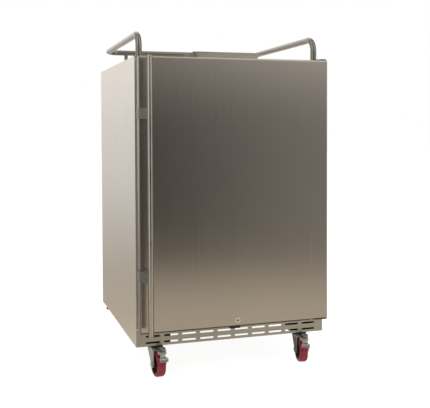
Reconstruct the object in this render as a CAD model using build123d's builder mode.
from build123d import *
import os

# Kegerator: free-standing keg cooler on casters, with a door on the front.
# Millimetres. +X towards the hinge side (right), +Y towards the back, +Z up.
# Origin: on the floor, under the centre of the overall box.

os.makedirs("parts", exist_ok=True)

# ----------------------------------------------------------------------------
# Shared dimensions
# ----------------------------------------------------------------------------

gap = 0.1                # ordinary clearance between neighbouring pieces
thin_gap = 0.05          # clearance of pieces that nearly touch

# cabinet
width = 606.0            # over the side panels
half_w = width / 2
z_bottom = 94.0          # lower edge of the side panels
z_top = 954.0            # top sheet
y_front = -250.0         # cabinet front plane, behind the door
y_back = 350.0           # cabinet back plane
sheet = 1.0              # sheet metal thickness
flange_side = 35.0       # front return of the side panels
flange_top = 35.0        # front fold of the top sheet
in_w = 2 * (half_w - sheet - gap)               # width between the side panels
flange_in_w = 2 * (half_w - flange_side - gap)  # width between the front returns
z_deck = 142.0           # underside of the base pan
deck_t = 1.2
deck = z_deck + deck_t   # upper face of the base pan
sheet_y0 = y_front + sheet + gap                # front edge of the top sheet and deck

# inner liner
liner_half_w = 255.0
liner_front = y_front + 3.0
liner_back = 290.0
liner_floor = 212.0
liner_ceiling = 904.0
liner_t = 3.0
step_front = 185.0       # front face of the step over the compressor
step_top = 392.0
space_top = 364.0        # roof of the compressor space

# tower hole and the four screw holes around it
port_y = 20.0
port_d = 76.0
port_pcd = 92.0

# rear cover
cover_y = y_back - sheet                        # outer side of the rear sheets
cover_screw_z = 230.0                           # centre of the screw pattern
cover_screw_pitch = (564.0, 210.0)

# door
door_half_w = 299.5
door_z0 = 147.0
door_z1 = 950.0
door_h = door_z1 - door_z0
door_face = -292.0
door_rear = -264.0
lock_z = 162.0
lock_hole_r = 6.6

# hinge
hinge_x = 288.0
hinge_y = -278.0
hinge_pin_r = 4.0
hinge_bore_r = hinge_pin_r + 0.05
bush_r = 6.0
bush_len = 24.0

# casters
swivel_x = 238.0
swivel_y_front = -212.0
swivel_y_rear = 278.0
plate_z0 = 97.0
plate_z1 = 101.0
plate_hole_pitch = (62.0, 44.0)


def at_x(x):
    """Plane facing +X at x; its sketch coordinates are (y, z)."""
    return Plane.YZ.offset(x)


def at_y(y):
    """Plane facing the front at y; sketch coordinates (x, z), positive extrusion goes to -Y."""
    return Plane.XZ.offset(-y)


def at_z(z):
    """Plane facing +Z at z; its sketch coordinates are (x, y)."""
    return Plane.XY.offset(z)


def mid(low, high):
    return (low + high) / 2


def save(piece, name):
    piece.part.label = name
    export_step(piece.part, f"parts/{name}.step")


# ----------------------------------------------------------------------------
# Cabinet shell
# ----------------------------------------------------------------------------

flange_rear = 16.0       # rear return of the side panels


def side_profile(side):
    """Plan of a side panel: long wall, front and rear return. side = -1 left, +1 right."""
    outer = side * half_w
    inner = side * (half_w - sheet)
    front_end = side * (half_w - flange_side)
    rear_end = side * (half_w - flange_rear)
    return [
        (outer, y_front), (front_end, y_front),
        (front_end, y_front + sheet), (inner, y_front + sheet),
        (inner, y_back - sheet), (rear_end, y_back - sheet),
        (rear_end, y_back), (outer, y_back),
    ]


# name, side, index of the outermost edge group along X
for side_name, side, outermost in (("left", -1, 0), ("right", 1, -1)):
    with BuildPart() as side_panel:
        with BuildSketch(at_z(z_bottom)):
            with BuildLine():
                Polyline(*side_profile(side), close=True)
            make_face()
        extrude(amount=z_top - z_bottom)
        # soft bends at the two outer corners
        fillet(side_panel.edges().filter_by(Axis.Z).group_by(Axis.X)[outermost], 0.9)
        # the front return stops above the kick grille
        notch_x = side * (half_w - flange_side / 2 - sheet)
        with BuildSketch(at_z(z_bottom)), Locations((notch_x, y_front + 0.5)):
            Rectangle(flange_side, 1.02)
        extrude(amount=z_deck - z_bottom, mode=Mode.SUBTRACT)
    save(side_panel, f"side_panel_{side_name}")

# top sheet with folded front edge, tower hole and its four screw holes
top_y1 = y_back - 1.2
with BuildPart() as top_panel:
    with BuildSketch(at_z(z_top - sheet)), Locations((0, mid(sheet_y0, top_y1))):
        Rectangle(in_w, top_y1 - sheet_y0)
    extrude(amount=sheet)
    with BuildSketch(at_z(z_top - flange_top)), Locations((0, y_front + sheet / 2)):
        Rectangle(flange_in_w, sheet)
    extrude(amount=flange_top)
    # strip that joins the fold to the sheet
    with BuildSketch(at_z(z_top - sheet)), Locations((0, y_front + sheet)):
        Rectangle(flange_in_w, 1.0)
    extrude(amount=sheet)
    fillet(top_panel.edges().filter_by(Axis.X).group_by(Axis.Y)[0].group_by(Axis.Z)[-1], 0.8)
    with BuildSketch(at_z(z_top)), Locations((0, port_y)):
        Circle(port_d / 2)
        with PolarLocations(port_pcd / 2, 4, start_angle=45):
            Circle(3.0)
    extrude(amount=-sheet, mode=Mode.SUBTRACT)
save(top_panel, "top_panel")

back_z0 = space_top + 0.2
back_z1 = z_top - sheet - gap
with BuildPart() as back_panel:
    with BuildSketch(at_y(cover_y - gap)), Locations((0, mid(back_z0, back_z1))):
        Rectangle(in_w, back_z1 - back_z0)
    extrude(amount=sheet)
    # two long shallow beads in the rear face
    with BuildSketch(at_y(cover_y - gap)), Locations((-130, 658), (130, 658)):
        SlotOverall(420, 14, rotation=90)
    extrude(amount=0.4, mode=Mode.SUBTRACT)
save(back_panel, "back_panel")

# slotted cover of the compressor space
cord_x = -255.0
cord_z = 168.0
grille_z0 = z_bottom + 1.2
with BuildPart() as rear_grille:
    with BuildSketch(at_y(cover_y - gap)):
        with Locations((0, mid(grille_z0, space_top))):
            Rectangle(in_w, space_top - grille_z0)
        with Locations((0, 254)), GridLocations(150, 16, 3, 10):
            SlotOverall(120, 8, mode=Mode.SUBTRACT)
        # cord opening
        with Locations((cord_x, cord_z)):
            Circle(6.0, mode=Mode.SUBTRACT)
        with Locations((0, cover_screw_z)), GridLocations(*cover_screw_pitch, 2, 2):
            Circle(2.4, mode=Mode.SUBTRACT)
    extrude(amount=sheet)
save(rear_grille, "rear_grille")

# base pan: deck with a front sill under the opening
pan_y1 = y_back - 2.4
with BuildPart() as base_pan:
    with BuildSketch(at_z(z_deck)), Locations((0, mid(sheet_y0, pan_y1))):
        Rectangle(in_w, pan_y1 - sheet_y0)
    extrude(amount=deck_t)
    with BuildSketch(at_z(z_deck)), Locations((0, y_front + sheet / 2)):
        Rectangle(flange_in_w, sheet)
    extrude(amount=liner_floor - liner_t - z_deck)
    # strip that joins the sill to the deck
    with BuildSketch(at_z(z_deck)), Locations((0, y_front + sheet)):
        Rectangle(flange_in_w, 1.0)
    extrude(amount=deck_t)
    # air slots in the deck under the compressor space
    with BuildSketch(at_z(z_deck)), Locations((20, 285)), GridLocations(16, 0, 9, 1):
        SlotOverall(60, 7, rotation=90)
    extrude(amount=deck_t, mode=Mode.SUBTRACT)
save(base_pan, "base_pan")


def liner_outline(front, grow):
    """Stepped side view (y, z) of the liner, moved outwards by grow except at the front."""
    return [
        (front, liner_floor - grow), (step_front + grow, liner_floor - grow),
        (step_front + grow, step_top - grow), (liner_back + grow, step_top - grow),
        (liner_back + grow, liner_ceiling + grow), (front, liner_ceiling + grow),
    ]


# moulded liner: one shell, open at the front, with the step over the compressor
with BuildPart() as inner_liner:
    with BuildSketch(at_x(-(liner_half_w + liner_t))):
        with BuildLine():
            Polyline(*liner_outline(liner_front, liner_t), close=True)
        make_face()
    extrude(amount=2 * (liner_half_w + liner_t))
    with BuildSketch(at_x(-liner_half_w)) as cavity:
        with BuildLine():
            Polyline(*liner_outline(y_front, 0.0), close=True)
        make_face()
        fillet(cavity.vertices().group_by(Axis.Y)[1:], 14.0)
    extrude(amount=2 * liner_half_w, mode=Mode.SUBTRACT)
    # tower hole through the ceiling
    with BuildSketch(at_z(liner_ceiling)), Locations((0, port_y)):
        Circle(32.0)
    extrude(amount=liner_t, mode=Mode.SUBTRACT)
    # hole for the coil tubes and the fan lead at the back
    with BuildSketch(at_y(liner_back + liner_t)), Locations((210, 442)):
        Circle(9.0)
    extrude(amount=liner_t, mode=Mode.SUBTRACT)
save(inner_liner, "inner_liner")

# foamed insulation between the shell and the liner, with the compressor space left open
foam_y0 = liner_front + gap
foam_y1 = y_back - 2.2
foam_z0 = deck + gap
void_grow = liner_t + gap
space_y0 = 213.0         # front wall of the compressor space
space_w = 564.0
with BuildPart() as cabinet_insulation:
    with BuildSketch(at_z(foam_z0)), Locations((0, mid(foam_y0, foam_y1))):
        Rectangle(in_w - 2 * gap, foam_y1 - foam_y0)
    extrude(amount=z_top - sheet - gap - foam_z0)
    with BuildSketch(at_x(-(liner_half_w + void_grow))):
        with BuildLine():
            Polyline(*liner_outline(y_front, void_grow), close=True)
        make_face()
    extrude(amount=2 * (liner_half_w + void_grow), mode=Mode.SUBTRACT)
    # compressor space, open to the rear cover
    with BuildSketch(at_z(z_deck)), Locations((0, mid(space_y0, y_back))):
        Rectangle(space_w, y_back - space_y0)
    extrude(amount=space_top - z_deck, mode=Mode.SUBTRACT)
    with BuildSketch(at_z(z_top)), Locations((0, port_y)):
        Circle(37.0)
    extrude(amount=-(z_top - liner_ceiling), mode=Mode.SUBTRACT)
    # pockets under the four tower holes
    with BuildSketch(at_z(z_top)), Locations((0, port_y)):
        with PolarLocations(port_pcd / 2, 4, start_angle=45):
            Circle(5.0)
    extrude(amount=-30.0, mode=Mode.SUBTRACT)
    # room for the rear cover screws
    with BuildSketch(at_y(cover_y)), Locations((0, cover_screw_z)):
        with GridLocations(*cover_screw_pitch, 2, 2):
            Circle(5.0)
    extrude(amount=14.0, mode=Mode.SUBTRACT)
save(cabinet_insulation, "cabinet_insulation")

# dark frame that closes the joint between the shell and the liner at the opening
frame_z0 = liner_floor - 2.9
frame_z1 = z_top - flange_top - gap
with BuildPart() as front_frame:
    with BuildSketch(at_y(y_front + thin_gap)):
        with Locations((0, mid(frame_z0, frame_z1))):
            Rectangle(flange_in_w, frame_z1 - frame_z0)
        with Locations((0, mid(liner_floor, liner_ceiling))):
            RectangleRounded(
                2 * liner_half_w, liner_ceiling - liner_floor, 8.0, mode=Mode.SUBTRACT
            )
    extrude(amount=-2.9)
save(front_frame, "front_frame")

# ribbed steel plate the keg stands on
floor_plate_y = -36.0
floor_plate_t = 1.5
floor_plate_z = liner_floor + gap
with BuildPart() as floor_plate:
    with BuildSketch(at_z(floor_plate_z)), Locations((0, floor_plate_y)):
        RectangleRounded(480.0, 400.0, 12.0)
    extrude(amount=floor_plate_t)
    # ribs
    with BuildSketch(at_z(floor_plate_z + floor_plate_t)), Locations((0, floor_plate_y)):
        with GridLocations(60, 0, 7, 1):
            SlotOverall(360, 8, rotation=90)
    extrude(amount=1.0)
save(floor_plate, "floor_plate")

# ----------------------------------------------------------------------------
# Underside: kick grille and caster rails
# ----------------------------------------------------------------------------

kick_z1 = z_deck - 0.2
kick_t = 1.2
kick_slot = (43.5, 5.5)      # length, height
kick_pitch = (56.1, 19.0)    # along X, along Z
with BuildPart() as kick_grille:
    with BuildSketch(at_y(y_front)):
        with Locations((0, mid(z_bottom, kick_z1))):
            Rectangle(in_w, kick_z1 - z_bottom)
        with Locations((0, z_bottom + 20.0)), GridLocations(*kick_pitch, 10, 2):
            SlotOverall(*kick_slot, mode=Mode.SUBTRACT)
    extrude(amount=-kick_t)
    # folded ends
    end_x = in_w / 2 - 0.5
    with BuildSketch(at_z(z_bottom)), Locations((-end_x, y_front + 7.0), (end_x, y_front + 7.0)):
        Rectangle(1.0, 14.0)
    extrude(amount=kick_z1 - z_bottom)
    # folded top edge, stiffens the long strip
    with BuildSketch(at_z(kick_z1 - kick_t)), Locations((0, y_front + 2.6)):
        Rectangle(in_w, 2.8)
    extrude(amount=kick_t)
save(kick_grille, "kick_grille")

# two bent steel channels, web below, closed at the front, holed for the casters
rail_w = 102.0
rail_t = 2.0
rail_mid_x = 248.5
rail_y0 = y_front + 4.6
rail_y1 = y_back - 3.0
rail_len = rail_y1 - rail_y0
rail_mid_y = mid(rail_y0, rail_y1)
hollow_y = rail_mid_y + rail_t
with BuildPart() as caster_rails:
    with BuildSketch(at_z(plate_z1)):
        with Locations((-rail_mid_x, rail_mid_y), (rail_mid_x, rail_mid_y)):
            Rectangle(rail_w, rail_len)
    extrude(amount=z_deck - gap - plate_z1)
    with BuildSketch(at_z(plate_z1 + rail_t)):
        with Locations((-rail_mid_x, hollow_y), (rail_mid_x, hollow_y)):
            Rectangle(rail_w - 2 * rail_t, rail_len - rail_t)
    extrude(amount=z_deck - plate_z1, mode=Mode.SUBTRACT)
    with BuildSketch(at_z(plate_z1)):
        for x in (-swivel_x, swivel_x):
            for y in (swivel_y_front, swivel_y_rear):
                with Locations((x, y)), GridLocations(*plate_hole_pitch, 2, 2):
                    Circle(3.2)
    extrude(amount=rail_t, mode=Mode.SUBTRACT)
save(caster_rails, "caster_rails")

# ----------------------------------------------------------------------------
# Top: guard rail, drip tray, tower cap; screws of the rear cover
# ----------------------------------------------------------------------------

guard_d = 19.0
guard_z = 1024.0         # axis of the horizontal run
guard_x = 284.5
guard_y_front = -224.0
guard_y_back = 318.0
guard_bend = 38.0
guard_foot_t = 3.0
guard_z0 = z_top + guard_foot_t
post_x = 214.0
post_d = 13.0
with BuildPart() as guard_rail:
    with BuildLine() as guard_line:
        FilletPolyline(
            (-guard_x, guard_y_front, guard_z0), (-guard_x, guard_y_front, guard_z),
            (-guard_x, guard_y_back, guard_z), (guard_x, guard_y_back, guard_z),
            (guard_x, guard_y_front, guard_z), (guard_x, guard_y_front, guard_z0),
            radius=guard_bend,
        )
    with BuildSketch(at_z(guard_z0)), Locations((-guard_x, guard_y_front)):
        Circle(guard_d / 2)
    sweep(path=guard_line.wires()[0])
    # rear posts welded to the underside of the back run
    with BuildSketch(at_z(guard_z0)), Locations((-post_x, guard_y_back), (post_x, guard_y_back)):
        Circle(post_d / 2)
    extrude(amount=guard_z - guard_z0)
    # base flanges
    with BuildSketch(at_z(z_top + thin_gap)):
        with Locations((-guard_x, guard_y_front), (guard_x, guard_y_front)):
            Circle(17.0)
        with Locations((-post_x, guard_y_back), (post_x, guard_y_back)):
            Circle(13.0)
    extrude(amount=guard_foot_t)
save(guard_rail, "guard_rail")

# drip tray: pressed pan with flared walls and a flat rim
tray_w = 218.0
tray_d = 127.0
tray_h = 22.0
tray_y = -150.5          # centre of the tray
tray_rim_t = 1.2
rim_z = z_top + tray_h - tray_rim_t
with BuildPart() as drip_tray_pan:
    with BuildSketch(at_z(z_top + gap)), Locations((0, tray_y)):
        RectangleRounded(tray_w - 16, tray_d - 16, 8.0)
    with BuildSketch(at_z(rim_z)), Locations((0, tray_y)):
        RectangleRounded(tray_w - 5, tray_d - 5, 10.0)
    loft()
    with BuildSketch(at_z(rim_z)), Locations((0, tray_y)):
        RectangleRounded(tray_w, tray_d, 12.0)
    extrude(amount=tray_rim_t)
    # hollow
    with BuildSketch(at_z(z_top + 1.1)), Locations((0, tray_y)):
        RectangleRounded(tray_w - 18.5, tray_d - 18.5, 7.0)
    with BuildSketch(at_z(z_top + tray_h)), Locations((0, tray_y)):
        RectangleRounded(tray_w - 7.5, tray_d - 7.5, 9.0)
    loft(mode=Mode.SUBTRACT)
save(drip_tray_pan, "drip_tray_pan")

# slotted grate that lies in the tray on four short legs
grate_z = z_top + tray_h - 4.0
leg_z = z_top + 1.2
with BuildPart() as drip_tray_grate:
    with BuildSketch(at_z(grate_z)), Locations((0, tray_y)):
        RectangleRounded(tray_w - 14, tray_d - 14, 8.0)
        with GridLocations(13.0, 0, 15, 1):
            SlotOverall(94.0, 6.0, rotation=90, mode=Mode.SUBTRACT)
    extrude(amount=1.5)
    with BuildSketch(at_z(leg_z)), Locations((0, tray_y)):
        with GridLocations(tray_w - 32, tray_d - 26, 2, 2):
            Circle(3.0)
    extrude(amount=grate_z - leg_z)
save(drip_tray_grate, "drip_tray_grate")

# cap over the tower hole, with a hollow plug that goes down into it
with BuildPart() as tower_cap:
    with BuildSketch(at_z(z_top + thin_gap)), Locations((0, port_y)):
        Circle(42.0)
    extrude(amount=5.0)
    fillet(tower_cap.edges().group_by(Axis.Z)[-1], 3.5)
    with BuildSketch(at_z(z_top + gap)), Locations((0, port_y)):
        Circle(36.0)
        Circle(33.0, mode=Mode.SUBTRACT)
    extrude(amount=-26.0)
save(tower_cap, "tower_cap")

# screws of the rear cover: (radius, extrusion) of the heads behind and the shanks in front
with BuildPart() as cover_screws:
    for radius, length in ((4.0, -0.9), (2.2, 9.0)):
        with BuildSketch(at_y(cover_y)), Locations((0, cover_screw_z)):
            with GridLocations(*cover_screw_pitch, 2, 2):
                Circle(radius)
        extrude(amount=length)
save(cover_screws, "cover_screws")

# ----------------------------------------------------------------------------
# Door
# ----------------------------------------------------------------------------

# ends of the door with the direction that leads into it
door_ends = ((door_z0, 1), (door_z1, -1))

with BuildPart() as door_skin:
    with BuildSketch(at_z(door_z0)) as door_plan:
        with Locations((0, mid(door_face, door_rear))):
            Rectangle(2 * door_half_w, door_rear - door_face)
        fillet(door_plan.vertices().group_by(Axis.Y)[0], 3.0)
    extrude(amount=door_h)
    with BuildSketch(at_z(door_z0 + sheet)) as door_hollow:
        with Locations((0, mid(door_face + sheet, door_rear))):
            Rectangle(2 * (door_half_w - sheet), door_rear - door_face - sheet)
        fillet(door_hollow.vertices().group_by(Axis.Y)[0], 2.0)
    extrude(amount=door_h - 2 * sheet, mode=Mode.SUBTRACT)
    with BuildSketch(at_y(door_face)), Locations((0, lock_z)):
        Circle(lock_hole_r)
    extrude(amount=-sheet, mode=Mode.SUBTRACT)
    # hinge bush holes, bottom and top
    for z, inward in door_ends:
        with BuildSketch(at_z(z)), Locations((hinge_x, hinge_y)):
            Circle(bush_r + 0.05)
        extrude(amount=inward * sheet, mode=Mode.SUBTRACT)
save(door_skin, "door_skin")

door_in_w = 2 * (door_half_w - sheet - gap)
door_in_h = door_h - 2 * (sheet + gap)
door_liner_t = 2.5
recess_w = 500.0
recess_z0 = 214.0
recess_z1 = 900.0
recess_h = recess_z1 - recess_z0
recess_z = mid(recess_z0, recess_z1)
recess_depth = 6.0
recess_r = 14.0
recess_back = door_rear - recess_depth - door_liner_t    # foam side of the recessed middle
with BuildPart() as door_liner:
    with BuildSketch(at_y(door_rear - door_liner_t)), Locations((0, mid(door_z0, door_z1))):
        Rectangle(door_in_w, door_in_h)
    extrude(amount=-door_liner_t)
    # recessed middle, pressed into the foam
    with BuildSketch(at_y(recess_back)), Locations((0, recess_z)):
        RectangleRounded(recess_w + 5, recess_h + 5, recess_r + 2.0)
    extrude(amount=-6.5)
    with BuildSketch(at_y(door_rear - recess_depth)), Locations((0, recess_z)):
        RectangleRounded(recess_w, recess_h, recess_r)
    extrude(amount=-7.0, mode=Mode.SUBTRACT)
    with BuildSketch(at_y(door_rear)), Locations((0, lock_z)):
        Circle(lock_hole_r)
    extrude(amount=3.0, mode=Mode.SUBTRACT)
save(door_liner, "door_liner")

door_foam_y0 = door_face + sheet + gap
door_foam_y1 = door_rear - door_liner_t - gap
with BuildPart() as door_insulation:
    with BuildSketch(at_z(door_z0 + sheet + gap)) as foam_plan:
        with Locations((0, mid(door_foam_y0, door_foam_y1))):
            Rectangle(door_in_w, door_foam_y1 - door_foam_y0)
        fillet(foam_plan.vertices().group_by(Axis.Y)[0], 2.0)
    extrude(amount=door_in_h)
    with BuildSketch(at_y(recess_back - gap)), Locations((0, recess_z)):
        RectangleRounded(recess_w + 5.2, recess_h + 5.2, recess_r + 2.1)
    extrude(amount=-7.0, mode=Mode.SUBTRACT)
    # room for the lock
    with BuildSketch(at_y(door_face)), Locations((0, lock_z)):
        Circle(9.0)
    extrude(amount=-30.0, mode=Mode.SUBTRACT)
    # room for the hinge bushes
    for z, inward in door_ends:
        with BuildSketch(at_z(z)), Locations((hinge_x, hinge_y)):
            Circle(bush_r + gap)
        extrude(amount=inward * (bush_len + 0.2), mode=Mode.SUBTRACT)
save(door_insulation, "door_insulation")

# magnetic gasket: base, narrower bellows, magnet bulb
gasket_out_x = 291.5
gasket_z0 = 185.0
gasket_z1 = 942.0
gasket_h = gasket_z1 - gasket_z0
gasket_w = 22.0
gasket_rear = -250.5
bulb_y = door_rear + 8.95
# front y, depth, inset on both sides of the band
gasket_steps = (
    (door_rear + 0.05, 3.5, 0.0),
    (door_rear + 3.55, 5.4, 4.0),
    (bulb_y, gasket_rear - bulb_y, 1.0),
)
with BuildPart() as door_gasket:
    for y, depth, inset in gasket_steps:
        with BuildSketch(at_y(y)), Locations((0, mid(gasket_z0, gasket_z1))):
            Rectangle(2 * (gasket_out_x - inset), gasket_h - 2 * inset)
            Rectangle(
                2 * (gasket_out_x - gasket_w + inset), gasket_h - 2 * (gasket_w - inset),
                mode=Mode.SUBTRACT,
            )
        extrude(amount=-depth)
save(door_gasket, "door_gasket")

handle_x = -279.0
handle_y = -342.0
handle_r = 8.0
handle_z0 = 149.0
handle_z1 = 947.0
with BuildPart() as handle_tube:
    with BuildSketch(at_z(handle_z0)), Locations((handle_x, handle_y)):
        Circle(handle_r)
    extrude(amount=handle_z1 - handle_z0)
    chamfer(handle_tube.edges().filter_by(GeomType.CIRCLE), 1.0)
save(handle_tube, "handle_tube")

# cast brackets: they hold the tube, cross the corner of the door and wrap on its left side
bracket_z = (314.0, 784.0)
bracket_h = 30.0
bracket_left = -302.5
# plan (x, y)
bracket_outline = (
    (bracket_left, -268.0), (-door_half_w - thin_gap, -268.0),
    (-door_half_w - thin_gap, door_face + 1.0), (-door_half_w + 1.2, door_face - thin_gap),
    (-266.0, door_face - thin_gap), (-266.0, -297.0), (-271.6, -333.0), (-271.6, handle_y),
    (-286.4, handle_y), (-288.0, -333.0), (bracket_left, -303.0),
)
with BuildPart() as handle_brackets:
    for z in bracket_z:
        with BuildSketch(at_z(z - bracket_h / 2)):
            with BuildLine():
                Polyline(*bracket_outline, close=True)
            make_face()
            with Locations((handle_x, handle_y)):
                Circle(handle_r + 0.02, mode=Mode.SUBTRACT)
        extrude(amount=bracket_h)
save(handle_brackets, "handle_brackets")

# lock housing: ring on the door face and a barrel through the door
plug_r = 4.5
lock_ring_y = door_face - thin_gap
with BuildPart() as lock_housing:
    with BuildSketch(at_y(lock_ring_y)), Locations((0, lock_z)):
        Circle(9.0)
    extrude(amount=2.4)
    chamfer(lock_housing.edges().filter_by(GeomType.CIRCLE).sort_by(Axis.Y)[0], 1.0)
    with BuildSketch(at_y(lock_ring_y)), Locations((0, lock_z)):
        Circle(6.5)
    extrude(amount=-27.0)
    with BuildSketch(at_y(door_face - 2.5)), Locations((0, lock_z)):
        Circle(plug_r + 0.05)
    extrude(amount=-32.0, mode=Mode.SUBTRACT)
save(lock_housing, "lock_housing")

# keyed plug with its cam; at rest the cam lies flat, turned down it goes behind the strike
plug_y = door_face - 2.0
cam_len = 22.0
with BuildPart() as lock_plug:
    with BuildSketch(at_y(plug_y)), Locations((0, lock_z)):
        Circle(plug_r)
    extrude(amount=-31.3)
    # key slot
    with BuildSketch(at_y(plug_y)), Locations((0, lock_z)):
        Rectangle(1.4, 4.6)
    extrude(amount=-3.0, mode=Mode.SUBTRACT)
    with BuildSketch(at_y(door_rear + 0.8)):
        with Locations((0, lock_z)):
            Circle(6.0)
        with Locations((-cam_len / 2, lock_z)):
            Rectangle(cam_len, 10.0)
    extrude(amount=-2.2)
save(lock_plug, "lock_plug")

# strike: leg on the cabinet front, upturned lip that the cam goes behind, short apron below
strike_w = 35.0
# side view (y, z)
strike_profile = (
    (-250.05, 156.0), (-252.0, 156.0), (-252.0, 139.0), (-266.2, 139.0), (-266.2, 145.6),
    (-268.2, 145.6), (-268.2, 131.0), (-266.2, 131.0), (-266.2, 137.0), (-250.05, 137.0),
)
with BuildPart() as lock_strike:
    with BuildSketch(at_x(-strike_w / 2)):
        with BuildLine():
            Polyline(*strike_profile, close=True)
        make_face()
    extrude(amount=strike_w)
save(lock_strike, "lock_strike")

# ----------------------------------------------------------------------------
# Hinges: folded plate with a riveted pin, top and bottom, and the bushes in the door
# ----------------------------------------------------------------------------

top_leaf_t = 2.9
top_leaf_z = z_top - top_leaf_t
bottom_leaf_t = 3.0
bottom_leaf_z = z_deck + 0.2
leg_t = 2.5
leg_y = -251.35          # centre of the legs on the cabinet front
pin_len = 22.0
# leaf plans (x, y)
top_leaf = (
    (262.0, -250.1), (299.0, -250.1), (299.0, -284.0),
    (293.0, -291.0), (281.0, -291.0), (262.0, -268.0),
)
bottom_leaf = (
    (245.0, -250.1), (299.4, -250.1), (299.4, -288.0),
    (296.0, -291.4), (262.0, -291.4), (245.0, -280.0),
)
with BuildPart() as hinge_plates:
    # top: leaf over the door, leg on the cabinet front, pin down into the door
    with BuildSketch(at_z(top_leaf_z)):
        with BuildLine():
            Polyline(*top_leaf, close=True)
        make_face()
    extrude(amount=top_leaf_t)
    with BuildSketch(at_z(z_top - 11.0)), Locations((280.5, leg_y)):
        Rectangle(37.0, leg_t)
    extrude(amount=9.0)
    with BuildSketch(at_z(top_leaf_z)), Locations((hinge_x, hinge_y)):
        Circle(hinge_pin_r)
    extrude(amount=-pin_len)
    # bottom: leaf under the door, leg up the cabinet front, pin up into the door
    with BuildSketch(at_z(bottom_leaf_z)):
        with BuildLine():
            Polyline(*bottom_leaf, close=True)
        make_face()
    extrude(amount=bottom_leaf_t)
    with BuildSketch(at_z(bottom_leaf_z)), Locations((272.0, leg_y)):
        Rectangle(54.0, leg_t)
    extrude(amount=11.5)
    with BuildSketch(at_z(bottom_leaf_z + bottom_leaf_t)), Locations((hinge_x, hinge_y)):
        Circle(hinge_pin_r)
    extrude(amount=pin_len)
save(hinge_plates, "hinge_plates")

bush_flange_r = 9.0
with BuildPart() as hinge_bushes:
    # bottom: flange, sleeve, then one bore through both
    with BuildSketch(at_z(door_z0 - 1.4)), Locations((hinge_x, hinge_y)):
        Circle(bush_flange_r)
    extrude(amount=1.35)
    with BuildSketch(at_z(door_z0 - thin_gap)), Locations((hinge_x, hinge_y)):
        Circle(bush_r)
    extrude(amount=bush_len)
    with BuildSketch(at_z(door_z0 - 2.0)), Locations((hinge_x, hinge_y)):
        Circle(hinge_bore_r)
    extrude(amount=26.5, mode=Mode.SUBTRACT)
    # top: flange upwards and sleeve downwards, both as rings
    for radius, length in ((bush_flange_r, 0.9), (bush_r, -bush_len)):
        with BuildSketch(at_z(door_z1 + thin_gap)), Locations((hinge_x, hinge_y)):
            Circle(radius)
            Circle(hinge_bore_r, mode=Mode.SUBTRACT)
        extrude(amount=length)
save(hinge_bushes, "hinge_bushes")

# ----------------------------------------------------------------------------
# Casters: swivel casters, plate mounted; the front pair has brake pedals.
# Fork, wheel and pedal are built with the swivel axis on Z, then turned and placed.
# ----------------------------------------------------------------------------

wheel_d = 76.0
wheel_w = 25.0
wheel_r = wheel_d / 2
hub_r = 30.0
axle_r = 5.0
axle_z = wheel_r
trail = 32.0             # wheel axle from the swivel axis
kingpin_r = 5.0
fork_half_w = 18.5
cheek_t = 2.5
pedal_dy = 35.0          # pedal rod from the swivel axis, on the trailing side
pedal_z = 82.6
pedal_rod_r = 2.5

# swivel axis x, y; side the wheel trails to before it is turned; angle it stands at
caster_sites = {
    "front_left": (-swivel_x, swivel_y_front, -1, 5.0),
    "front_right": (swivel_x, swivel_y_front, -1, -10.0),
    "rear_left": (-swivel_x, swivel_y_rear, 1, -70.0),
    "rear_right": (swivel_x, swivel_y_rear, 1, 40.0),
}

race_h = 3.0
with BuildPart() as caster_plates:
    for x, y, _, _ in caster_sites.values():
        with BuildSketch(at_z(plate_z0)), Locations((x, y)):
            RectangleRounded(84.0, 64.0, 6.0)
            with GridLocations(*plate_hole_pitch, 2, 2):
                SlotOverall(10.0, 6.6, mode=Mode.SUBTRACT)
        extrude(amount=plate_z1 - plate_z0 - thin_gap)
        # raised race for the swivel bearing
        with BuildSketch(at_z(plate_z0)), Locations((x, y)):
            Circle(22.0)
        extrude(amount=-race_h)
        # kingpin hole and the recess for its head
        with BuildSketch(at_z(plate_z0 - race_h)), Locations((x, y)):
            Circle(kingpin_r + 0.05)
        extrude(amount=10.0, mode=Mode.SUBTRACT)
        with BuildSketch(at_z(plate_z1)), Locations((x, y)):
            Circle(8.5)
        extrude(amount=-2.2, mode=Mode.SUBTRACT)
save(caster_plates, "caster_plates")


def trailing(points, trail_sign):
    """Side view (distance towards the trailing side, z) as (y, z)."""
    return [(trail_sign * y, z) for y, z in points]


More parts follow.
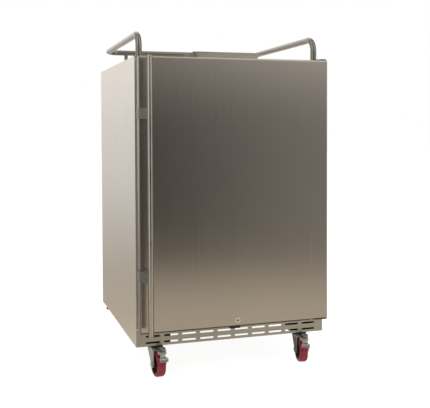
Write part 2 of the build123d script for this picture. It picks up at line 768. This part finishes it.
def make_fork(trail_sign, brake):
    """Pressed fork with bearing head, kingpin and axle bolt."""
    wheel_y = trail_sign * trail
    nose = 41.0 if brake else 30.0
    cheek = (
        (-10.0, 85.6), (-13.0, 78.0), (trail - 10.5, axle_z - 2.0),
        (trail - 5.0, axle_z - 9.5), (trail + 5.0, axle_z - 9.5),
        (trail + 10.0, axle_z + 2.0), (nose, 77.0), (nose, 85.6),
    )
    with BuildPart() as fork:
        # bearing head under the race
        with BuildSketch(at_z(85.0)):
            Circle(25.0)
        extrude(amount=8.5)
        fillet(fork.edges().filter_by(GeomType.CIRCLE).group_by(Axis.Z)[-1], 3.0)
        # crown
        with BuildSketch(at_z(81.0)):
            Circle(22.0)
            with Locations((0, trail_sign * 8.0)):
                Rectangle(2 * fork_half_w, 36.0)
        extrude(amount=4.6)
        # two cheeks that lean towards the axle
        for x in (-fork_half_w, fork_half_w - cheek_t):
            with BuildSketch(at_x(x)):
                with BuildLine():
                    Polyline(*trailing(cheek, trail_sign), close=True)
                make_face()
            extrude(amount=cheek_t)
        # kingpin with its head: base z, radius, length
        for z, radius, length in ((90.0, kingpin_r, 10.7), (99.1, 7.8, 1.6)):
            with BuildSketch(at_z(z)):
                Circle(radius)
            extrude(amount=length)
        # axle bolt with head and nut
        with BuildSketch(at_x(-fork_half_w)), Locations((wheel_y, axle_z)):
            Circle(axle_r)
        extrude(amount=2 * fork_half_w)
        for x, length in ((-fork_half_w, -4.2), (fork_half_w, 5.0)):
            with BuildSketch(at_x(x)), Locations((wheel_y, axle_z)):
                RegularPolygon(8.0, 6)
            extrude(amount=length)
        if brake:
            # pivot rod of the pedal
            with BuildSketch(at_x(-19.5)), Locations((trail_sign * pedal_dy, pedal_z)):
                Circle(pedal_rod_r)
            extrude(amount=39.0)
    return fork.part


def make_hub(wheel_y):
    """Moulded hub: rim, web and boss, bored for the axle."""
    rim_w = 23.0
    web_t = 8.0
    boss_w = 29.0
    with BuildPart() as hub:
        with BuildSketch(at_x(-rim_w / 2)), Locations((wheel_y, axle_z)):
            Circle(hub_r - 0.02)
            Circle(hub_r - 4.5, mode=Mode.SUBTRACT)
        extrude(amount=rim_w)
        with BuildSketch(at_x(-web_t / 2)), Locations((wheel_y, axle_z)):
            Circle(hub_r - 4.0)
        extrude(amount=web_t)
        with BuildSketch(at_x(-boss_w / 2)), Locations((wheel_y, axle_z)):
            Circle(10.0)
        extrude(amount=boss_w)
        # six round holes in the web
        with BuildSketch(at_x(-web_t / 2)), Locations((wheel_y, axle_z)):
            with PolarLocations(17.8, 6, start_angle=30):
                Circle(4.6)
        extrude(amount=web_t, mode=Mode.SUBTRACT)
        with BuildSketch(at_x(-15.0)), Locations((wheel_y, axle_z)):
            Circle(axle_r + 0.05)
        extrude(amount=30.0, mode=Mode.SUBTRACT)
    return hub.part


def make_tread(wheel_y):
    """Tyre with a slightly crowned running face."""
    half = wheel_w / 2
    # x, distance from the axle
    section = (
        (-half, hub_r), (half, hub_r), (half, wheel_r - 3.0), (half - 2.5, wheel_r - 0.5),
        (4.0, wheel_r), (-4.0, wheel_r), (-half + 2.5, wheel_r - 0.5), (-half, wheel_r - 3.0),
    )
    with BuildPart() as tread:
        with BuildSketch(at_z(axle_z)):
            with BuildLine():
                Polyline(*[(x, wheel_y + radius) for x, radius in section], close=True)
            make_face()
        revolve(axis=Axis((0, wheel_y, axle_z), (1, 0, 0)))
    return tread.part


# side views of the brake pedal: distance from the swivel axis, z
# foot plate: flat over the wheel, bent down in front of it, step, lower lip
pedal_plate = (
    (pedal_dy, pedal_z + 1.6), (pedal_dy, pedal_z + 4.2), (56.0, 87.6), (66.0, 83.6),
    (76.0, 74.6), (78.5, 71.4), (86.0, 69.8), (88.0, 67.4), (87.6, 58.6), (85.4, 58.4),
    (85.2, 66.4), (77.0, 68.8), (73.8, 73.2), (64.4, 81.6), (55.4, 85.2),
)
pedal_rib = (
    (50.0, 86.0), (57.0, 89.2), (67.2, 85.0), (76.4, 76.2),
    (75.0, 74.8), (65.0, 82.8), (56.0, 86.4),
)
pedal_tab = (
    (44.0, 85.4), (47.0, 91.0), (51.0, 92.9), (74.0, 91.4),
    (74.0, 89.6), (52.0, 91.0), (49.0, 89.6), (47.0, 85.4),
)


def make_pedal(trail_sign):
    """Stamped brake pedal: sleeve on the rod, waisted foot plate with a lip, release tab."""
    rod_y = trail_sign * pedal_dy
    half = 13.0              # half width of the foot plate
    with BuildPart() as pedal:
        with BuildSketch(at_x(-12.0)), Locations((rod_y, pedal_z)):
            Circle(4.4)
        extrude(amount=24.0)
        with BuildSketch(at_x(-half)):
            with BuildLine():
                Polyline(*trailing(pedal_plate, trail_sign), close=True)
            make_face()
        extrude(amount=2 * half)
        # waist between the plate and the lip
        with BuildSketch(at_y(trail_sign * 70.0)), Locations((-half, 73.5), (half, 73.5)):
            RegularPolygon(6.0, 6)
        extrude(amount=-trail_sign * 24.0, mode=Mode.SUBTRACT)
        # two pressed ribs along the plate, then the release tab: left x, width, side view
        for x, tab_w, outline in (
            (-7.5, 3.0, pedal_rib), (4.5, 3.0, pedal_rib), (-4.0, 15.0, pedal_tab),
        ):
            with BuildSketch(at_x(x)):
                with BuildLine():
                    Polyline(*trailing(outline, trail_sign), close=True)
                make_face()
            extrude(amount=tab_w)
        with BuildSketch(at_x(-13.5)), Locations((rod_y, pedal_z)):
            Circle(pedal_rod_r + 0.05)
        extrude(amount=27.0, mode=Mode.SUBTRACT)
    return pedal.part


def save_placed(shape, place, name):
    with BuildPart() as placed:
        with Locations(place):
            add(shape)
    save(placed, name)


for site, (x, y, trail_sign, turn) in caster_sites.items():
    stand = Location((x, y, 0), (0, 0, turn))
    brake = site.startswith("front")
    save_placed(make_fork(trail_sign, brake), stand, f"caster_fork_{site}")
    save_placed(make_hub(trail_sign * trail), stand, f"wheel_hub_{site}")
    save_placed(make_tread(trail_sign * trail), stand, f"wheel_tread_{site}")
    if brake:
        save_placed(make_pedal(trail_sign), stand, f"brake_pedal_{site}")

# ----------------------------------------------------------------------------
# Cooling system
# ----------------------------------------------------------------------------

comp_x = 120.0
comp_y = 281.0
foot_z = deck + thin_gap     # pieces that stand on the deck

# hermetic compressor: drawn shell with a weld seam, foot plate on four feet,
# terminal box, stubs
with BuildPart() as compressor:
    with BuildSketch(at_z(deck + 14.0)), Locations((comp_x, comp_y)):
        Ellipse(76.0, 58.0)
    extrude(amount=142.0)
    fillet(compressor.edges().group_by(Axis.Z)[-1], 24.0)
    fillet(compressor.edges().group_by(Axis.Z)[0], 10.0)
    # weld seam
    with BuildSketch(at_z(deck + 82.0)), Locations((comp_x, comp_y)):
        Ellipse(79.0, 61.0)
    extrude(amount=5.0)
    # foot plate and feet
    with BuildSketch(at_z(deck + 12.0)), Locations((comp_x, comp_y)):
        RectangleRounded(186.0, 96.0, 10.0)
    extrude(amount=3.0)
    with BuildSketch(at_z(foot_z)), Locations((comp_x, comp_y)):
        with GridLocations(160.0, 70.0, 2, 2):
            Circle(10.0)
    extrude(amount=12.0)
    # terminal box on the left
    with BuildSketch(at_z(deck + 50.0)), Locations((comp_x - 84.0, comp_y)):
        Rectangle(30.0, 54.0)
    extrude(amount=48.0)
    # process stubs
    with BuildSketch(at_z(deck + 100.0)):
        with Locations((comp_x + 44.0, comp_y - 22.0), (comp_x + 30.0, comp_y + 30.0)):
            Circle(3.2)
    extrude(amount=74.0)
save(compressor, "compressor")

# tube and fin condenser: fins in one block with tubes out of both ends, on two feet
cond_x = -170.0
cond_w = 60.0
with BuildPart() as condenser_coil:
    with BuildSketch(at_z(deck + 12.0)), Locations((cond_x, comp_y)):
        Rectangle(cond_w, 112.0)
        with GridLocations(0, 8.0, 1, 13):
            Rectangle(56.0, 4.6, mode=Mode.SUBTRACT)
    extrude(amount=130.0)
    for i in range(5):
        tube_z = deck + 30.0 + 24.0 * i
        with BuildSketch(at_y(comp_y - 61.0)):
            with Locations((cond_x - 15.0, tube_z), (cond_x + 15.0, tube_z)):
                Circle(4.0)
        extrude(amount=-122.0)
    with BuildSketch(at_z(foot_z)), Locations((cond_x, comp_y - 52.5), (cond_x, comp_y + 52.5)):
        Rectangle(cond_w, 7.0)
    extrude(amount=12.5)
save(condenser_coil, "condenser_coil")

# fan bracket: standing plate with a round hole and a motor held on four arms
cfan_x = -86.0
cfan_z = deck + 78.0
cfan_plate_t = 2.0
cfan_plate_w = 128.0
spindle_r = 3.0
spindle_bore_r = spindle_r + 0.05
motor_r = 20.0
with BuildPart() as condenser_fan_bracket:
    with BuildSketch(at_x(cfan_x)):
        with Locations((comp_y, deck + 70.5)):
            RectangleRounded(cfan_plate_w, 140.8, 5.0)
        with Locations((comp_y, cfan_z)):
            Circle(54.0, mode=Mode.SUBTRACT)
            Rectangle(112.0, 6.0)
            Rectangle(6.0, 112.0)
            Circle(motor_r)
    extrude(amount=cfan_plate_t)
    with BuildSketch(at_x(cfan_x + cfan_plate_t)), Locations((comp_y, cfan_z)):
        Circle(motor_r)
    extrude(amount=26.0)
    # fan spindle
    with BuildSketch(at_x(cfan_x)), Locations((comp_y, cfan_z)):
        Circle(spindle_r)
    extrude(amount=-19.0)
    # foot
    with BuildSketch(at_z(foot_z)), Locations((cfan_x + 9.0, comp_y)):
        Rectangle(18.0, cfan_plate_w)
    extrude(amount=2.0)
    # notch for the cord
    with BuildSketch(at_x(cfan_x - 1.0)), Locations((comp_y + 43.0, deck + 8.0)):
        Rectangle(26.0, 18.0)
    extrude(amount=22.0, mode=Mode.SUBTRACT)
save(condenser_fan_bracket, "condenser_fan_bracket")


def make_fan(
    hub_plane, centre, hub_radius, hub_len,
    blade_origin, spin_axis, first_blade, root_radius, tip_chord,
    bore_plane, bore_len,
):
    """Hub with five twisted blades, bored for the spindle. centre lies in hub_plane."""
    with BuildPart() as fan:
        with BuildSketch(hub_plane), Locations(centre):
            Circle(hub_radius)
        extrude(amount=-hub_len)
        for k in range(5):
            blade_plane = Plane(
                origin=blade_origin,
                x_dir=spin_axis.direction,
                z_dir=Vector(*first_blade).rotate(spin_axis, 72.0 * k),
            )
            with BuildSketch(blade_plane.offset(root_radius)):
                Rectangle(2.0, 14.0, rotation=38)
            with BuildSketch(blade_plane.offset(50.0)):
                Rectangle(1.6, tip_chord, rotation=28)
            loft()
        with BuildSketch(bore_plane), Locations(centre):
            Circle(spindle_bore_r)
        extrude(amount=-bore_len, mode=Mode.SUBTRACT)
    return fan


condenser_fan = make_fan(
    hub_plane=at_x(cfan_x - 3.0), centre=(comp_y, cfan_z), hub_radius=17.0, hub_len=15.0,
    blade_origin=(cfan_x - 10.5, comp_y, cfan_z), spin_axis=Axis.X, first_blade=(0, 1, 0),
    root_radius=15.0, tip_chord=24.0, bore_plane=at_x(cfan_x), bore_len=20.0,
)
save(condenser_fan, "condenser_fan")

# evaporator coil against the back wall of the liner
evap_x = 75.0
evap_z = 560.0
evap_w = 300.0
evap_depth = 26.0
evap_back = liner_back - gap
evap_tube_x = evap_w / 2 + 4.0
with BuildPart() as evaporator_coil:
    with BuildSketch(at_y(evap_back)), Locations((evap_x, evap_z)):
        Rectangle(evap_w, 150.0)
        with GridLocations(8.0, 0, 36, 1):
            Rectangle(5.0, 146.0, mode=Mode.SUBTRACT)
    extrude(amount=evap_depth)
    for i in range(5):
        with BuildSketch(at_x(evap_x - evap_tube_x)):
            with Locations((liner_back - evap_depth / 2, 500.0 + 30.0 * i)):
                Circle(4.0)
        extrude(amount=2 * evap_tube_x)
save(evaporator_coil, "evaporator_coil")

# moulded cover over the coil and the fan, air in low, air out through the round grille
efan_z = 740.0
cover_front = 240.0
cover_t = 2.5
cover_w = 330.0
cover_z0 = 440.0
cover_h = 400.0
with BuildPart() as evaporator_cover:
    with BuildSketch(at_z(cover_z0)) as cover_plan:
        with Locations((evap_x, mid(cover_front, evap_back))):
            Rectangle(cover_w, evap_back - cover_front)
        fillet(cover_plan.vertices().group_by(Axis.Y)[0], 12.0)
    extrude(amount=cover_h)
    with BuildSketch(at_z(cover_z0 + cover_t)) as cover_room:
        with Locations((evap_x, mid(cover_front + cover_t, liner_back))):
            Rectangle(cover_w - 2 * cover_t, liner_back - cover_front - cover_t)
        fillet(cover_room.vertices().group_by(Axis.Y)[0], 10.0)
    extrude(amount=cover_h - 2 * cover_t, mode=Mode.SUBTRACT)
    # outlet grille: ring-shaped openings (outer, inner radius) crossed by four arms
    with BuildSketch(at_y(cover_front + cover_t)), Locations((evap_x, efan_z)):
        for outer, inner in ((54.0, 49.0), (45.0, 40.0), (36.0, 31.0), (27.0, 22.0)):
            Circle(outer)
            Circle(inner, mode=Mode.SUBTRACT)
            # the next ring refills part of the cleared disc
        for angle in (45, -45):
            Rectangle(110.0, 4.0, rotation=angle, mode=Mode.SUBTRACT)
    extrude(amount=2.6, mode=Mode.SUBTRACT)
    # inlet slots
    with BuildSketch(at_y(cover_front + 2.6)), Locations((evap_x, 490.0)):
        with GridLocations(20.0, 0, 12, 1):
            SlotOverall(50.0, 8.0, rotation=90)
    extrude(amount=2.8, mode=Mode.SUBTRACT)
    # spindle for the fan
    with BuildSketch(at_y(cover_front + 2.4)), Locations((evap_x, efan_z)):
        Circle(spindle_r)
    extrude(amount=-22.0)
save(evaporator_cover, "evaporator_cover")

evaporator_fan = make_fan(
    hub_plane=at_y(cover_front + 6.0), centre=(evap_x, efan_z), hub_radius=16.0, hub_len=16.0,
    blade_origin=(evap_x, cover_front + 14.0, efan_z), spin_axis=Axis.Y, first_blade=(1, 0, 0),
    root_radius=14.0, tip_chord=20.0, bore_plane=at_y(cover_front), bore_len=30.0,
)
save(evaporator_fan, "evaporator_fan")

# thermostat box under the ceiling on the right, with its dial knob on the front
therm_x = 180.0
therm_y = 130.0          # front face
therm_z = liner_ceiling - 26.0
therm_h = 48.0
dial_x = therm_x - 20.0
with BuildPart() as thermostat_housing:
    with BuildSketch(at_y(therm_y)) as therm_face:
        with Locations((therm_x, liner_ceiling - gap - therm_h / 2)):
            Rectangle(96.0, therm_h)
        fillet(therm_face.vertices().group_by(Axis.Y)[0], 8.0)
    extrude(amount=-84.0)
    chamfer(thermostat_housing.edges().group_by(Axis.Y)[0], 1.5)
    # lamp window recess
    with BuildSketch(at_y(therm_y)), Locations((therm_x + 26.0, therm_z)):
        RectangleRounded(30.0, 26.0, 3.0)
    extrude(amount=-1.5, mode=Mode.SUBTRACT)
    # dial spindle
    with BuildSketch(at_y(therm_y)), Locations((dial_x, therm_z)):
        Circle(spindle_r)
    extrude(amount=12.0)
save(thermostat_housing, "thermostat_housing")

dial_y = therm_y - 1.0   # back of the knob
dial_h = 13.0
with BuildPart() as thermostat_knob:
    with BuildSketch(at_y(dial_y)), Locations((dial_x, therm_z)):
        Circle(16.0)
        with PolarLocations(16.6, 12):
            Circle(1.6, mode=Mode.SUBTRACT)
    extrude(amount=dial_h)
    chamfer(thermostat_knob.faces().sort_by(Axis.Y)[0].edges(), 0.6)
    # pointer groove
    with BuildSketch(at_y(dial_y - dial_h)), Locations((dial_x, therm_z + 10.0)):
        Rectangle(1.6, 8.0)
    extrude(amount=-0.8, mode=Mode.SUBTRACT)
    with BuildSketch(at_y(therm_y)), Locations((dial_x, therm_z)):
        Circle(spindle_bore_r)
    extrude(amount=12.5, mode=Mode.SUBTRACT)
save(thermostat_knob, "thermostat_knob")

# ----------------------------------------------------------------------------
# Gas: cylinder on the step at the back left, valve, regulator
# ----------------------------------------------------------------------------

cyl_x = -192.0
cyl_y = 231.0
cyl_r = 55.5
cyl_z0 = step_top + 3.2
cyl_z1 = cyl_z0 + 262.0
neck_r = 17.0
valve_z = cyl_z1 + 24.0  # axis of the outlet and the regulator
# distance from the axis, z
cyl_half_section = (
    (0.0, cyl_z0), (cyl_r - 12.0, cyl_z0), (cyl_r, cyl_z0 + 12.0), (cyl_r, cyl_z1 - 46.0),
    (cyl_r - 8.0, cyl_z1 - 24.0), (neck_r, cyl_z1 - 6.0), (neck_r, cyl_z1), (0.0, cyl_z1),
)
with BuildPart() as co2_cylinder:
    with BuildSketch(at_y(cyl_y)) as cyl_profile:
        with BuildLine():
            Polyline(*[(cyl_x + radius, z) for radius, z in cyl_half_section], close=True)
        make_face()
        fillet(cyl_profile.vertices().group_by(Axis.X)[-1], 10.0)
    revolve(axis=Axis((cyl_x, cyl_y, 0), (0, 0, 1)))
save(co2_cylinder, "co2_cylinder")

# bracket: foot plate on the step, and a strap round the body with a block to the left wall
with BuildPart() as cylinder_bracket:
    with BuildSketch(at_z(step_top + gap)), Locations((cyl_x, 224.0)):
        RectangleRounded(122.0, 98.0, 8.0)
    extrude(amount=3.0)
    with BuildSketch(at_z(cyl_z0 + 150.0)):
        with Locations((cyl_x, cyl_y)):
            Circle(cyl_r + 1.6)
        with Locations((cyl_x - 30.0, cyl_y)):
            Rectangle(64.0, 40.0)
        with Locations((cyl_x, cyl_y)):
            Circle(cyl_r + gap, mode=Mode.SUBTRACT)
    extrude(amount=22.0)
save(cylinder_bracket, "cylinder_bracket")

stem_r = 4.0
stem_bore_r = stem_r + 0.05
with BuildPart() as cylinder_valve:
    with BuildSketch(at_z(cyl_z1 + thin_gap)), Locations((cyl_x, cyl_y)):
        RegularPolygon(15.0, 6)
    extrude(amount=10.0)
    with BuildSketch(at_z(cyl_z1 + 10.0)), Locations((cyl_x, cyl_y)):
        Circle(12.0)
    extrude(amount=32.0)
    # outlet towards the middle, stem upwards
    with BuildSketch(at_x(cyl_x)), Locations((cyl_y, valve_z)):
        Circle(9.0)
    extrude(amount=26.0)
    with BuildSketch(at_z(cyl_z1 + 42.0)), Locations((cyl_x, cyl_y)):
        Circle(stem_r)
    extrude(amount=14.0)
save(cylinder_valve, "cylinder_valve")

with BuildPart() as cylinder_valve_knob:
    with BuildSketch(at_z(cyl_z1 + 43.0)), Locations((cyl_x, cyl_y)):
        Circle(19.0)
        with PolarLocations(20.5, 8):
            Circle(4.0, mode=Mode.SUBTRACT)
        Circle(stem_bore_r, mode=Mode.SUBTRACT)
    extrude(amount=14.0)
    fillet(cylinder_valve_knob.edges().filter_by(GeomType.CIRCLE).group_by(Axis.Z)[-1], 1.0)
save(cylinder_valve_knob, "cylinder_valve_knob")

# regulator: nut on the valve outlet, round body, bonnet pointing to the middle
reg_x = cyl_x + 52.0     # the gauges and the outlet barb sit here
with BuildPart() as regulator_body:
    with BuildSketch(at_x(cyl_x + 26.1)), Locations((cyl_y, valve_z)):
        RegularPolygon(14.0, 6)
    extrude(amount=12.0)
    with BuildSketch(at_x(cyl_x + 38.0)), Locations((cyl_y, valve_z)):
        Circle(24.0)
    extrude(amount=26.0)
    chamfer(regulator_body.faces().sort_by(Axis.X)[-1].edges(), 3.0)
    # bonnet, stem of the adjusting knob: x from the cylinder axis, radius, length
    for x, radius, length in ((64.0, 15.0, 10.0), (74.0, stem_r, 12.0)):
        with BuildSketch(at_x(cyl_x + x)), Locations((cyl_y, valve_z)):
            Circle(radius)
        extrude(amount=length)
    # stub for the front gauge
    with BuildSketch(at_y(cyl_y - 20.0)), Locations((reg_x, valve_z)):
        Circle(6.0)
    extrude(amount=9.0)
    # stub for the top gauge, outlet, its barb: z from the valve axis, radius, length up
    for z, radius, length in ((20.0, 6.0, 10.0), (-20.0, 7.5, -18.0), (-38.0, 4.0, -11.0)):
        with BuildSketch(at_z(valve_z + z)), Locations((reg_x, cyl_y)):
            Circle(radius)
        extrude(amount=length)
save(regulator_body, "regulator_body")

gauge_h = 22.0
# back y and centre z: low pressure in front of the body, cylinder pressure on top
gauge_sites = ((cyl_y - 29.1, valve_z), (cyl_y + 11.0, valve_z + 50.1))
with BuildPart() as pressure_gauges:
    for y, z in gauge_sites:
        with BuildSketch(at_y(y)), Locations((reg_x, z)):
            Circle(20.0)
        extrude(amount=gauge_h)
    chamfer(pressure_gauges.edges().filter_by(GeomType.CIRCLE), 1.2)
    # sunk dials
    for y, z in gauge_sites:
        with BuildSketch(at_y(y - gauge_h)), Locations((reg_x, z)):
            Circle(17.0)
        extrude(amount=-1.2, mode=Mode.SUBTRACT)
save(pressure_gauges, "pressure_gauges")

with BuildPart() as regulator_knob:
    with BuildSketch(at_x(cyl_x + 74.6)), Locations((cyl_y, valve_z)):
        Circle(17.0)
        with PolarLocations(18.0, 10):
            Circle(2.4, mode=Mode.SUBTRACT)
        Circle(stem_bore_r, mode=Mode.SUBTRACT)
    extrude(amount=13.0)
save(regulator_knob, "regulator_knob")

# power cord: from the opening in the rear cover, along the deck, up beside the compressor
cord_end_y = y_back - 5.0
cord_low_z = deck + 8.0
with BuildPart() as power_cord:
    with BuildLine() as cord_line:
        FilletPolyline(
            (cord_x, cord_end_y, cord_z), (cord_x, 316.0, cord_z), (-236.0, 316.0, cord_z),
            (-236.0, 316.0, cord_low_z), (-60.0, 330.0, cord_low_z), (0.0, 330.0, cord_low_z),
            (0.0, 270.0, cord_low_z), (12.0, 270.0, deck + 70.0),
            radius=7.0,
        )
    with BuildSketch(Plane(origin=cord_line.line @ 0, z_dir=cord_line.line % 0)):
        Circle(3.6)
    sweep(path=cord_line.wires()[0])
    # grommet in the cover
    with BuildSketch(at_y(cord_end_y)), Locations((cord_x, cord_z)):
        Circle(5.8)
    extrude(amount=-4.6)
save(power_cord, "power_cord")
